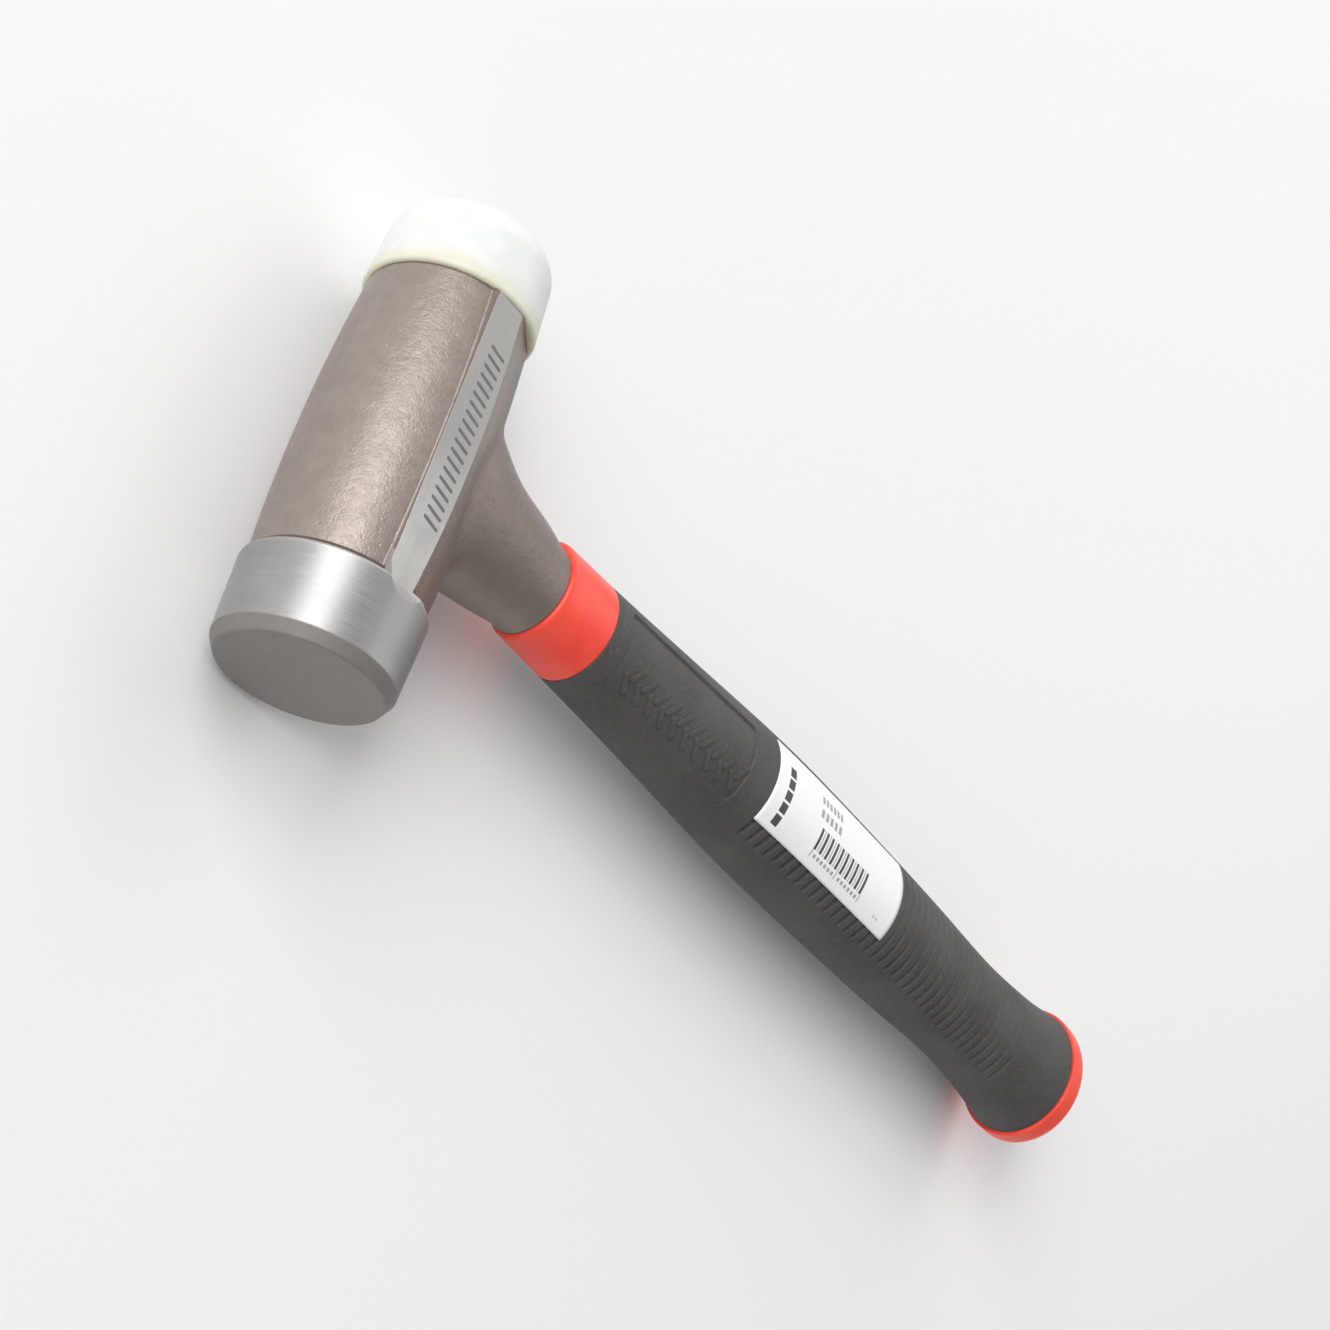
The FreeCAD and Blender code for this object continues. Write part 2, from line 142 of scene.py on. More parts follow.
# Label, with the material slots of its paper and inks
PAPER, DARK, GREY, PALE = range(4)
LABEL_LEFT = -10.0
LABEL_RIGHT = 11.3
LABEL_TOP = 133.0
LABEL_BOTTOM = 194.7
LABEL_THICKNESS = 0.15
LABEL_GAP = 0.01
BLOCK_COUNT = 5
BLOCK_LEFT = -8.4
BLOCK_TOP = 137.6
BLOCK_PITCH = 3.1
BLOCK_SIZE = 2.5
# Rows of equal bars down the label: count, pitch, top of the first, left, right, height, slot
BAR_ROWS = [
    (6, 1.75, 152.7, 5.2, 7.1, 1.1, GREY),
    (5, 2.1, 152.7, 1.5, 3.6, 1.3, GREY),
    (10, 2.5, 154.6, -6.0, -0.5, 0.95, DARK),
    (9, 2.5, 156.15, -6.0, -0.5, 0.4, GREY),
    (3, 11.725, 154.6, -7.9, -6.0, 0.4, GREY),
    (6, 1.7, 156.0, -7.6, -6.7, 1.0, GREY),
    (6, 1.7, 167.8, -7.6, -6.7, 1.0, GREY),
    (2, 1.4, 186.5, -7.7, -7.0, 0.9, PALE),
]

# The row frame's origin is the middle of the base of the whole hammer's box.
WORK_ORIGIN = (-NYLON_END / 2, (CAP_END - BAND_RADIUS) / 2, BAND_RADIUS)

# Stage, in metres, watts and degrees in the row frame; the camera's target is in millimetres
FLOOR_HALF = 4.0
WORLD_STRENGTH = 0.42
# Lights: name, place, aim, size, power
LIGHTS = [
    ("key", (0.26, 1.76, 1.28), (0.0, 0.06, 0.02), (2.2, 1.3), 42.0),
    ("fill", (0.42, -0.50, 0.72), (0.0, 0.06, 0.02), (0.7, 0.7), 1.5),
    ("side", (1.50, -0.30, 0.75), (0.0, 0.0, 0.02), (1.2, 1.2), 6.0),
]
CAMERA_TARGET = (65.63, -98.89, 0.0)
CAMERA_DISTANCE = 0.57455
CAMERA_AZIMUTH = 214.33
CAMERA_ELEVATION = 36.347
CAMERA_ROLL = 86.54
CAMERA_LENS = 67.669
CAMERA_SENSOR = 36.0


# ---------------------------------------------------------------- mesh helpers

def to_row(points):
    """Working-frame millimetres to row-frame metres."""
    return (np.asarray(points, float) + np.array(WORK_ORIGIN)) * MM


def make_object(name, points, faces, materials, face_slots=None):
    mesh = bpy.data.meshes.new(name)
    mesh.from_pydata(to_row(points).tolist(), [], faces)
    mesh.validate()
    for material in materials:
        mesh.materials.append(material)
    if face_slots is not None:
        mesh.polygons.foreach_set("material_index", face_slots)
    mesh.polygons.foreach_set("use_smooth", [True] * len(mesh.polygons))
    mesh.update()
    obj = bpy.data.objects.new(name, mesh)
    bpy.context.scene.collection.objects.link(obj)
    return obj


def ring_faces(rings, count):
    """Quads between consecutive rings of count points each."""
    faces = []
    for ring in range(rings - 1):
        here = ring * count
        beyond = here + count
        for k in range(count):
            following = (k + 1) % count
            faces.append((here + k, beyond + k, beyond + following, here + following))
    return faces


def tube_mesh(rings):
    """Points and faces of a closed solid through rings, with a point closing each end."""
    rings = np.asarray(rings, float)
    number, count = rings.shape[:2]
    points = np.vstack([rings.reshape(-1, 3), rings[0].mean(0), rings[-1].mean(0)])
    faces = ring_faces(number, count)
    first_middle = number * count
    last_middle = first_middle + 1
    last_ring = (number - 1) * count
    for k in range(count):
        following = (k + 1) % count
        faces.append((first_middle, k, following))
        faces.append((last_middle, last_ring + following, last_ring + k))
    return points, faces


def rounded_outline(corners, steps):
    """A polyline whose corners (a, b, radius) are rounded by arcs."""
    out = []
    for i, (a, b, radius) in enumerate(corners):
        here = Vector((a, b))
        if radius <= 0 or i in (0, len(corners) - 1):
            out.append((a, b))
            continue
        before = (Vector(corners[i - 1][:2]) - here).normalized()
        after = (Vector(corners[i + 1][:2]) - here).normalized()
        half = before.angle(after) / 2
        reach = radius / math.tan(half)
        centre = here + (before + after).normalized() * (radius / math.sin(half))
        start = here + before * reach - centre
        sweep = math.pi - 2 * half
        if start.x * (after.y - before.y) - start.y * (after.x - before.x) <= 0:
            sweep = -sweep
        for step in range(steps + 1):
            cosine = math.cos(sweep * step / steps)
            sine = math.sin(sweep * step / steps)
            out.append((centre.x + start.x * cosine - start.y * sine,
                        centre.y + start.x * sine + start.y * cosine))
    return out


def split_long(outline, limit):
    """Adds points so that no segment of a profile is longer than limit."""
    out = [outline[0]]
    for a, b in zip(outline, outline[1:]):
        parts = max(1, math.ceil(math.dist(a, b) / limit))
        for part in range(1, parts + 1):
            share = part / parts
            out.append((a[0] + (b[0] - a[0]) * share, a[1] + (b[1] - a[1]) * share))
    return out


def head_rings(profile):
    """Rings around the head's axis from (x, radius) pairs."""
    angles = np.linspace(0, 2 * math.pi, TURNED_POINTS, endpoint=False)
    return [np.column_stack([np.full(TURNED_POINTS, x), radius * np.cos(angles), radius * np.sin(angles)])
            for x, radius in profile]


def handle_rings(profile, shift):
    """Rings around the handle from (depth, half width) pairs; the oval keeps the grip's aspect."""
    angles = np.linspace(0, 2 * math.pi, TURNED_POINTS, endpoint=False)
    return [np.column_stack([HANDLE_X + shift + half * np.cos(angles), np.full(TURNED_POINTS, -depth),
                             GRIP_ASPECT * half * np.sin(angles)]) for depth, half in profile]


# ---------------------------------------------------------------- grip surface

def spline_bends(xs, ys):
    """Second derivatives of a natural cubic spline."""
    count = len(xs)
    matrix = np.zeros((count, count))
    side = np.zeros(count)
    matrix[0, 0] = matrix[-1, -1] = 1
    for i in range(1, count - 1):
        before = xs[i] - xs[i - 1]
        after = xs[i + 1] - xs[i]
        matrix[i, i - 1:i + 2] = (before, 2 * (before + after), after)
        side[i] = 6 * ((ys[i + 1] - ys[i]) / after - (ys[i] - ys[i - 1]) / before)
    return np.linalg.solve(matrix, side)


SECTION_DEPTHS = np.array([section[0] for section in GRIP_SECTIONS])
SECTION_WIDTHS = np.array([section[1] for section in GRIP_SECTIONS])
SECTION_SHIFTS = np.array([section[2] for section in GRIP_SECTIONS])
WIDTH_BENDS = spline_bends(SECTION_DEPTHS, SECTION_WIDTHS)
SHIFT_BENDS = spline_bends(SECTION_DEPTHS, SECTION_SHIFTS)


def spline(values, bends, depth):
    """The spline through the grip's sections, at any depth."""
    depth = np.asarray(depth, float)
    i = np.clip(np.searchsorted(SECTION_DEPTHS, depth) - 1, 0, len(SECTION_DEPTHS) - 2)
    gap = SECTION_DEPTHS[i + 1] - SECTION_DEPTHS[i]
    a = (SECTION_DEPTHS[i + 1] - depth) / gap
    b = 1 - a
    bend = ((a ** 3 - a) * bends[i] + (b ** 3 - b) * bends[i + 1]) * gap * gap / 6
    return a * values[i] + b * values[i + 1] + bend


def grip_half(depth):
    """Half width of the grip along X."""
    return spline(SECTION_WIDTHS, WIDTH_BENDS, depth)


def grip_shift(depth):
    """How far the middle of the grip's oval lies from the handle's axis."""
    return spline(SECTION_SHIFTS, SHIFT_BENDS, depth)


def smooth_step(low, high, value):
    share = np.clip((value - low) / (high - low), 0, 1)
    return share * share * (3 - 2 * share)


def grip_point(depth, angle, lift):
    """Points of the grip's skin, lifted along the oval's own normal."""
    half = grip_half(depth)
    normal_x = np.cos(angle) * GRIP_ASPECT
    normal_z = np.sin(angle)
    size = np.hypot(normal_x, normal_z)
    x = HANDLE_X + grip_shift(depth) + half * np.cos(angle) + lift * normal_x / size
    z = GRIP_ASPECT * half * np.sin(angle) + lift * normal_z / size
    return np.stack([x, -depth + 0 * x, z], -1)


def upper_angle(x, depth):
    """The angle on the label's side of the grip at a distance x from the handle's axis."""
    return np.arccos(np.clip((x - grip_shift(depth)) / grip_half(depth), -1, 1))


def panel_floor(x):
    """Depth of the panel's floor, which runs out towards the left."""
    return PANEL_DEPTH * (0.3 + 0.7 * smooth_step(PANEL_LEFT, PANEL_RIGHT - 3.0, x))


def panel_sink(x, depth):
    """How far the panel and the crease at its right and bottom edges go below the grip's skin."""
    past_x = np.abs(x - (PANEL_LEFT + PANEL_RIGHT) / 2) - (PANEL_RIGHT - PANEL_LEFT) / 2 + PANEL_CORNER
    past_y = (np.abs(depth - (PANEL_TOP + PANEL_BOTTOM) / 2)
              - (PANEL_BOTTOM - PANEL_TOP) / 2 + PANEL_CORNER)
    outside = np.hypot(np.maximum(past_x, 0), np.maximum(past_y, 0))
    edge = outside + np.minimum(np.maximum(past_x, past_y), 0) - PANEL_CORNER
    creased = (smooth_step(2.0, PANEL_RIGHT - 0.5, x)
               + smooth_step(PANEL_BOTTOM - 3.0, PANEL_BOTTOM, depth))
    crease = CREASE_DEPTH * np.exp(-((edge + CREASE_INSET) / CREASE_WIDTH) ** 2)
    return panel_floor(x) * smooth_step(0.05, -0.4, edge) + np.minimum(creased, 1) * crease


def groove_middle(index):
    return GROOVE_START + GROOVE_WIDTH / 2 + index * GROOVE_PITCH


def groove_sink(x, depth):
    """How far the cross grooves go below the grip's skin. They are deepest and widest at the left,
    shallow in the middle, and fade at the right and towards the butt."""
    index = np.round((depth - GROOVE_START - GROOVE_WIDTH / 2) / GROOVE_PITCH)
    across = np.abs(depth - groove_middle(np.clip(index, 0, GROOVE_COUNT - 1)))
    left = smooth_step(-6.0, -11.0, x)
    right = smooth_step(0.0, 4.0, x)
    right_end = smooth_step(9.0, 11.0, x)
    butt = smooth_step(215.0, 270.0, depth)
    length = GROOVE_HALF_LENGTH - GROOVE_LEFT_SHORTER * left
    reach = np.hypot(across, np.maximum(np.abs(x) - length + GROOVE_WIDTH / 2, 0))
    strength = (0.5 + left + 0.6 * right) * (1 - 0.5 * right_end) * (1 - 0.35 * butt)
    half = GROOVE_WIDTH / 2 + GROOVE_LEFT_WIDER * left
    return GROOVE_DEPTH * strength * smooth_step(half + 0.12, half - 0.38, reach)


def end_sink(depth):
    """How far the round edges at the grip's two ends go below its skin."""
    near = min(abs(depth - GRIP_TOP), abs(depth - GRIP_BOTTOM), GRIP_EDGE)
    return GRIP_EDGE - math.sqrt(GRIP_EDGE ** 2 - (GRIP_EDGE - near) ** 2)


def grip_rows():
    """Depths of the grip's rings, closer together at the panel's ends and at each groove."""
    edge = GRIP_EDGE * (1 - np.cos(np.linspace(0, math.pi / 2, 5)))
    rows = list(GRIP_TOP + edge)
    for start, end, step in (
            (GRIP_TOP + 1.0, PANEL_TOP - 1.0, 0.8), (PANEL_TOP - 0.8, PANEL_TOP + 5, 0.2),
            (PANEL_TOP + 5, PANEL_BOTTOM - 5, 0.6), (PANEL_BOTTOM - 5, PANEL_BOTTOM + 1, 0.2),
            (PANEL_BOTTOM + 1.2, GROOVE_START - 0.8, 0.7)):
        rows += list(np.arange(start, end, step))
    for index in range(GROOVE_COUNT):
        rows += [groove_middle(index) + line for line in GROOVE_LINES]
    rows += list(np.arange(GROOVE_START + GROOVE_COUNT * GROOVE_PITCH, GRIP_BOTTOM - 1.0, 0.7))
    rows += list(GRIP_BOTTOM - edge[::-1])
    return rows


def grip_angles(depth):
    """Angles around one ring: even steps of x on the two broad sides, with more at the panel's
    edges, and even angles over the narrow sides."""
    even = np.arange(-BROAD_HALF, BROAD_HALF + 0.01, BROAD_STEP)
    extra = [edge + line for edge in (PANEL_LEFT, PANEL_RIGHT) for line in PANEL_EDGE_LINES]
    across = np.unique(np.round(np.concatenate([even, extra]), 3))[::-1]
    upper = upper_angle(across, depth)
    left = np.linspace(upper[-1], 2 * math.pi - upper[-1], SIDE_POINTS + 2)[1:-1]
    lower = 2 * math.pi - upper[::-1]
    right = np.linspace(lower[-1], 2 * math.pi + upper[0], SIDE_POINTS + 2)[1:-1]
    return np.concatenate([upper, left, lower, right])


def grip_mesh():
    """The rubber sleeve: its skin, its two flat ends and its bore."""
    rings = []
    for depth in grip_rows():
        angle = grip_angles(depth)
        x = grip_shift(depth) + grip_half(depth) * np.cos(angle)
        sink = panel_sink(x, depth) + groove_sink(x, depth) + end_sink(depth)
        rings.append(grip_point(np.full(len(angle), depth), angle, -sink))
    around = grip_angles(GRIP_BOTTOM)
    count = len(around)
    for depth in (GRIP_BOTTOM, GRIP_TOP):
        rings.append(np.column_stack([HANDLE_X + CORE_RADIUS * np.cos(around),
                                      np.full(count, -depth), CORE_RADIUS * np.sin(around)]))
    faces = ring_faces(len(rings), count)
    last = (len(rings) - 1) * count
    for k in range(count):
        following = (k + 1) % count
        faces.append((last + k, k, following, last + following))
    return np.vstack(rings), faces


# ---------------------------------------------------------------- raised and printed marks

def capsule(x0, y0, x1, y1, width):
    """Outline of a bar with round ends between two points."""
    steps = 7
    along = math.atan2(y1 - y0, x1 - x0)
    out = []
    for x, y, base in ((x1, y1, along - math.pi / 2), (x0, y0, along + math.pi / 2)):
        for step in range(steps + 1):
            angle = base + math.pi * step / steps
            out.append((x + width / 2 * math.cos(angle), y + width / 2 * math.sin(angle)))
    return out


def mark_rings(outline, layers, place):
    """Closed stack of rings shrunk about an outline's middle. layers holds (inset, height)."""
    outline = np.array(outline)
    middle = outline.mean(0)
    reach = np.hypot(*(outline - middle).T)
    rings = []
    for inset, height in layers:
        scale = np.maximum(reach - inset, 0.02) / reach
        flat = middle + (outline - middle) * scale[:, None]
        rings.append(place(flat[:, 0], flat[:, 1], height))
    return rings


def join_marks(name, marks, layers, place, material):
    """One object from many small closed marks."""
    points = []
    faces = []
    for outline in marks:
        more, new = tube_mesh(mark_rings(outline, layers, place))
        shift = sum(len(part) for part in points)
        points.append(more)
        faces += [tuple(i + shift for i in face) for face in new]
    return make_object(name, np.vstack(points), faces, [material])


def on_panel(x, depth, height):
    return grip_point(depth, upper_angle(x, depth), height - panel_floor(x))


def on_pad(x, y, height):
    return np.column_stack([x, y, np.full(len(x), PAD_HEIGHT + height)])


# ---------------------------------------------------------------- node helpers

class Nodes:
    """Short calls for building one material's node tree."""

    def __init__(self, name):
        self.material = bpy.data.materials.new(name)
        self.material.use_nodes = True
        self.tree = self.material.node_tree
        self.tree.nodes.clear()
        self.shader = self.add("ShaderNodeBsdfPrincipled")
        self.link(self.shader.outputs[0], self.add("ShaderNodeOutputMaterial").inputs[0])

    def add(self, kind, **settings):
        node = self.tree.nodes.new(kind)
        for key, value in settings.items():
            setattr(node, key, value)
        return node

    def link(self, source, target):
        self.tree.links.new(source, target)

    def feed(self, target, value):
        """Links a socket, or sets a plain value."""
        if hasattr(value, "links"):
            self.link(value, target)
        else:
            target.default_value = value

    def set(self, **values):
        """Feeds the shader's own sockets; an underscore stands for a space."""
        for key, value in values.items():
            self.feed(self.shader.inputs[key.replace("_", " ")], value)

    def work_place(self):
        """Object coordinates as millimetres in the working frame."""
        coordinates = self.add("ShaderNodeTexCoord")
        scaled = self.add("ShaderNodeVectorMath", operation="MULTIPLY_ADD")
        self.link(coordinates.outputs["Object"], scaled.inputs[0])
        scaled.inputs[1].default_value = (1 / MM, 1 / MM, 1 / MM)
        scaled.inputs[2].default_value = tuple(-value for value in WORK_ORIGIN)
        return scaled.outputs[0]

    def stretch(self, vector, factors):
        node = self.add("ShaderNodeVectorMath", operation="MULTIPLY")
        self.link(vector, node.inputs[0])
        node.inputs[1].default_value = factors
        return node.outputs[0]

    def split(self, vector):
        node = self.add("ShaderNodeSeparateXYZ")
        self.link(vector, node.inputs[0])
        return node.outputs

    def combine(self, x, y, z):
        node = self.add("ShaderNodeCombineXYZ")
        for socket, value in zip(node.inputs, (x, y, z)):
            self.feed(socket, value)
        return node.outputs[0]

    def math(self, operation, a, b=0.0):
        node = self.add("ShaderNodeMath", operation=operation)
        self.feed(node.inputs[0], a)
        self.feed(node.inputs[1], b)
        return node.outputs[0]

    def times(self, a, b):
        return self.math("MULTIPLY", a, b)

    def plus(self, a, b):
        return self.math("ADD", a, b)

    def either(self, a, b):
        """The larger of two masks."""
        return self.math("MAXIMUM", a, b)

    def span(self, value, low, high, out_low=0.0, out_high=1.0):
        """A smooth step from out_low at low to out_high at high."""
        node = self.add("ShaderNodeMapRange", interpolation_type="SMOOTHSTEP")
        self.feed(node.inputs["Value"], value)
        node.inputs["From Min"].default_value = low
        node.inputs["From Max"].default_value = high
        node.inputs["To Min"].default_value = out_low
        node.inputs["To Max"].default_value = out_high
        return node.outputs[0]

    def noise(self, vector, scale, detail=3.0, roughness=0.5):
        node = self.add("ShaderNodeTexNoise")
        self.link(vector, node.inputs["Vector"])
        node.inputs["Scale"].default_value = scale
        node.inputs["Detail"].default_value = detail
        node.inputs["Roughness"].default_value = roughness
        return node.outputs["Fac"]

    def cells(self, vector, scale):
        """Distance to the nearest of many scattered points."""
        node = self.add("ShaderNodeTexVoronoi")
        self.link(vector, node.inputs["Vector"])
        node.inputs["Scale"].default_value = scale
        return node.outputs["Distance"]

    def blend(self, data_type, socket_type, factor, a, b):
        """A Mix node: its first input is the factor, and the two of the right type are the sides."""
        node = self.add("ShaderNodeMix", data_type=data_type)
        self.feed(node.inputs[0], factor)
        sides = [s for s in list(node.inputs)[1:] if s.type == socket_type and s.enabled]
        self.feed(sides[0], a)
        self.feed(sides[1], b)
        return [s for s in node.outputs if s.enabled][0]

    def mix(self, factor, a, b):
        return self.blend("RGBA", "RGBA", factor, a, b)

    def mix_value(self, factor, a, b):
        return self.blend("FLOAT", "VALUE", factor, a, b)

    def wander(self, noise, low, high):
        """A value that follows a noise from low to high."""
        return self.span(noise, 0.3, 0.7, low, high)

    def shades(self, noise, dark, light):
        """A colour that follows a noise from dark to light."""
        return self.mix(self.wander(noise, 0.0, 1.0), dark, light)

    def over(self, base, mask, share, tone):
        """The base colour with a share of another tone where the mask is 1."""
        return self.mix(self.times(mask, share), base, tone)

    def bump(self, height, distance, strength, normal=None):
        node = self.add("ShaderNodeBump")
        node.inputs["Strength"].default_value = strength
        node.inputs["Distance"].default_value = distance * MM
        self.feed(node.inputs["Height"], height)
        if normal is not None:
            self.link(normal, node.inputs["Normal"])
        return node.outputs[0]


def colour(red, green, blue):
    return (red, green, blue, 1.0)


# ---------------------------------------------------------------- materials

def rubber_material():
    """Matt black rubber with a mottled skin, a film of dust and a few pale specks."""
    nodes = Nodes("grip_rubber")
    place = nodes.work_place()
    broad = nodes.noise(place, 0.06)
    fine = nodes.noise(place, 3.2, 4.0, 0.6)
    mottle = nodes.noise(place, 0.9, 5.0, 0.7)
    dust = nodes.span(nodes.noise(place, 0.35, 5.0, 0.7), 0.58, 0.74)
    specks = nodes.span(nodes.cells(place, 0.2), 0.06, 0.02)
    base = nodes.shades(broad, colour(0.054, 0.052, 0.051), colour(0.072, 0.070, 0.068))
    base = nodes.over(base, nodes.span(mottle, 0.45, 0.7), 0.5, colour(0.100, 0.097, 0.095))
    base = nodes.over(base, dust, 0.28, colour(0.15, 0.145, 0.14))
    base = nodes.over(base, specks, 0.22, colour(0.26, 0.25, 0.24))
    skin = nodes.plus(fine, nodes.times(mottle, 1.5))
    nodes.set(Base_Color=base, Roughness=nodes.wander(fine, 0.54, 0.68))
    nodes.set(Normal=nodes.bump(skin, 0.06, 0.7), Specular_IOR_Level=0.5)
    return nodes.material


def red_material():
    """Satin red plastic of the collar and the end cap."""
    nodes = Nodes("red_plastic")
    place = nodes.work_place()
    broad = nodes.noise(place, 0.12, 2.0)
    fine = nodes.noise(place, 4.0, 3.0, 0.6)
    base = nodes.shades(broad, colour(0.92, 0.062, 0.035), colour(0.97, 0.088, 0.050))
    nodes.set(Base_Color=base, Roughness=nodes.wander(fine, 0.30, 0.40))
    nodes.set(Normal=nodes.bump(fine, 0.02, 0.35))
    nodes.set(Subsurface_Weight=0.12, Subsurface_Scale=0.0015)
    return nodes.material


def nylon_material():
    """Milky nylon, with painted shade towards its seat: a darker, creamier band."""
    nodes = Nodes("nylon")
    place = nodes.work_place()
    x, _, _ = nodes.split(place)
    broad = nodes.noise(place, 0.25)
    fine = nodes.noise(nodes.stretch(place, (6.0, 1.0, 1.0)), 1.2)
    wavy_x = nodes.plus(x, nodes.span(broad, 0.2, 0.8, -1.5, 1.5))
    # Painted shade: the nylon darkens to a creamier tone towards its seat on the casting.
    seat = nodes.span(wavy_x, NYLON_START + 6.5, NYLON_START)
    base = nodes.shades(broad, colour(0.71, 0.72, 0.71), colour(0.75, 0.76, 0.75))
    base = nodes.over(base, seat, 0.8, colour(0.69, 0.67, 0.50))
    nodes.set(Base_Color=base, Roughness=nodes.wander(fine, 0.34, 0.46))
    nodes.set(Normal=nodes.bump(fine, 0.012, 0.3))
    nodes.set(Subsurface_Weight=0.6, Subsurface_Scale=0.006, Subsurface_Radius=(1.0, 0.95, 0.8))
    return nodes.material


def steel_mask(nodes, x, y, height, radius):
    """1 on the bare steel: the face and its band, the side pads and both their ends."""
    band = nodes.span(x, BAND_END + 0.25, BAND_END + 0.1)
    flat = nodes.times(nodes.span(height, PAD_HEIGHT - 0.1, PAD_HEIGHT - 0.05),
                       nodes.span(y, PAD_TOP + 0.05, PAD_TOP))
    front = nodes.times(nodes.span(radius, PAD_FRONT_RADIUS - 0.05, PAD_FRONT_RADIUS + 0.05),
                        nodes.span(x, PAD_FRONT_END + 0.5, PAD_FRONT_END - 0.5))
    front = nodes.times(front, nodes.span(y, PAD_TOP + 0.5, PAD_TOP + 0.3))
    back = nodes.times(nodes.span(x, PAD_ROUND_START, PAD_ROUND_START + 0.2),
                       nodes.span(height, PAD_ROUND_HEIGHT - 0.15, PAD_ROUND_HEIGHT + 0.15))
    back = nodes.times(back, nodes.span(y, PAD_LOWER - 0.3, PAD_LOWER))
    back = nodes.times(back, nodes.span(y, PAD_TOP, PAD_TOP - 0.3))
    return nodes.either(nodes.either(band, flat), nodes.either(front, back))


def head_paint(nodes, x, y, height, lump, grain):
    """Bronze-grey paint, with painted shade on the low side, and a dark rim along the edges by the steel
    and the nylon that is the paint's edge at the pads and painted shade at the shoulder and the casting's
    end.
    """
    # Painted shade: the head's side towards the handle, below the pads, is darkened.
    low_side_shade = nodes.times(nodes.span(y, -6.0, -12.0), nodes.span(y, -62.0, -30.0, 0.8, 1.0))
    wall = nodes.times(nodes.span(height, PAD_HEIGHT - 0.45, PAD_HEIGHT - 0.1),
                       nodes.span(y, PAD_TOP - 0.1, PAD_TOP))
    # Painted shade: a dark line in the step behind the band and in the recess by the nylon; the line
    # along the pad's wall is the paint's own edge.
    shoulder = nodes.span(x, BARREL_START + 0.25, BARREL_START)
    casting_end = nodes.span(x, NYLON_START - 0.6, NYLON_START - 0.2)
    paint_edge_and_shade = nodes.either(nodes.either(wall, shoulder), casting_end)
    lumpy = nodes.span(lump, 0.25, 0.75)
    paint = nodes.mix(lumpy, colour(0.295, 0.250, 0.220), colour(0.335, 0.288, 0.256))
    paint = nodes.over(paint, nodes.span(grain, 0.45, 0.75), 0.25, colour(0.42, 0.375, 0.34))
    paint = nodes.over(paint, low_side_shade, 0.5, colour(0.175, 0.140, 0.117))
    # The dark rim: the paint's edge along the pad's wall, and painted shade at the shoulder and the
    # casting's end.
    return nodes.over(paint, paint_edge_and_shade, 0.75, colour(0.10, 0.075, 0.06))


def head_steel(nodes, place, x, brushed, on_band, face, cast, lump):
    """Ground steel on the band, warmer on the pads with a painted highlight that brightens them towards
    the band, and a dull face.
    """
    band = nodes.shades(brushed, colour(0.36, 0.354, 0.346), colour(0.43, 0.423, 0.414))
    pad = nodes.shades(brushed, colour(0.34, 0.328, 0.314), colour(0.40, 0.388, 0.374))
    # Painted highlight: the pads grow brighter towards the band.
    pad = nodes.mix(nodes.span(x, PAD_HIGHLIGHT_FADE, PAD_HIGHLIGHT_FULL), pad, colour(0.52, 0.505, 0.487))
    stain = nodes.noise(nodes.stretch(place, (0.5, 1.0, 1.0)), 0.14, 3.0, 0.6)
    bare = nodes.mix(on_band, pad, band)
    bare = nodes.over(bare, nodes.span(stain, 0.42, 0.68), 0.3, colour(0.30, 0.30, 0.305))
    dull = nodes.shades(cast, colour(0.272, 0.252, 0.236), colour(0.292, 0.272, 0.255))
    dull = nodes.over(dull, nodes.span(lump, 0.5, 0.8), 0.3, colour(0.22, 0.195, 0.175))
    return nodes.mix(face, bare, dull)


def head_material():
    """Paint over a cast skin, with bare ground steel at the face band and the pads."""
    nodes = Nodes("head_paint_and_steel")
    place = nodes.work_place()
    x, y, z = nodes.split(place)
    height = nodes.math("ABSOLUTE", z)
    radius = nodes.math("POWER", nodes.plus(nodes.times(y, y), nodes.times(z, z)), 0.5)
    steel = steel_mask(nodes, x, y, height, radius)
    on_band = nodes.span(x, BAND_END + 0.3, BAND_END - 1.0)
    face = nodes.span(x, FACE_RIM, FACE_RIM - 0.3)

    lump = nodes.noise(place, 0.22)
    cast = nodes.noise(place, 0.62, 4.0, 0.62)
    grain = nodes.noise(place, 2.4, 3.0, 0.6)
    dents = nodes.span(nodes.cells(nodes.stretch(place, (0.6, 1.0, 1.0)), 0.42), 0.16, 0.04)
    around = nodes.combine(nodes.times(x, 5.0), nodes.times(nodes.math("ARCTAN2", y, z), 1.6), 0.0)
    turned_lines = nodes.noise(around, 1.0, 4.0, 0.65)
    ground_lines = nodes.noise(nodes.stretch(place, (0.5, 2.4, 1.0)), 1.0, 4.0, 0.6)
    brushed = nodes.mix_value(on_band, ground_lines, turned_lines)

    paint = head_paint(nodes, x, y, height, lump, grain)
    bare = head_steel(nodes, place, x, brushed, on_band, face, cast, lump)
    steel_metallic = nodes.mix_value(face, 0.93, 0.70)
    steel_roughness = nodes.mix_value(face, nodes.wander(brushed, 0.40, 0.50), 0.60)
    nodes.set(Base_Color=nodes.mix(steel, paint, bare))
    nodes.set(Metallic=nodes.mix_value(steel, 0.62, steel_metallic))
    nodes.set(Roughness=nodes.mix_value(steel, nodes.wander(cast, 0.37, 0.47), steel_roughness))

    skin = nodes.plus(nodes.plus(cast, nodes.times(grain, 0.6)), nodes.times(lump, 1.4))
    skin = nodes.math("SUBTRACT", skin, nodes.times(dents, 0.3))
    skin = nodes.times(skin, nodes.math("SUBTRACT", 1.0, steel))
    scratches = nodes.times(nodes.mix_value(face, brushed, grain), steel)
    nodes.set(Normal=nodes.bump(scratches, 0.012, 0.6, nodes.bump(skin, 0.18, 0.8)))
    return nodes.material


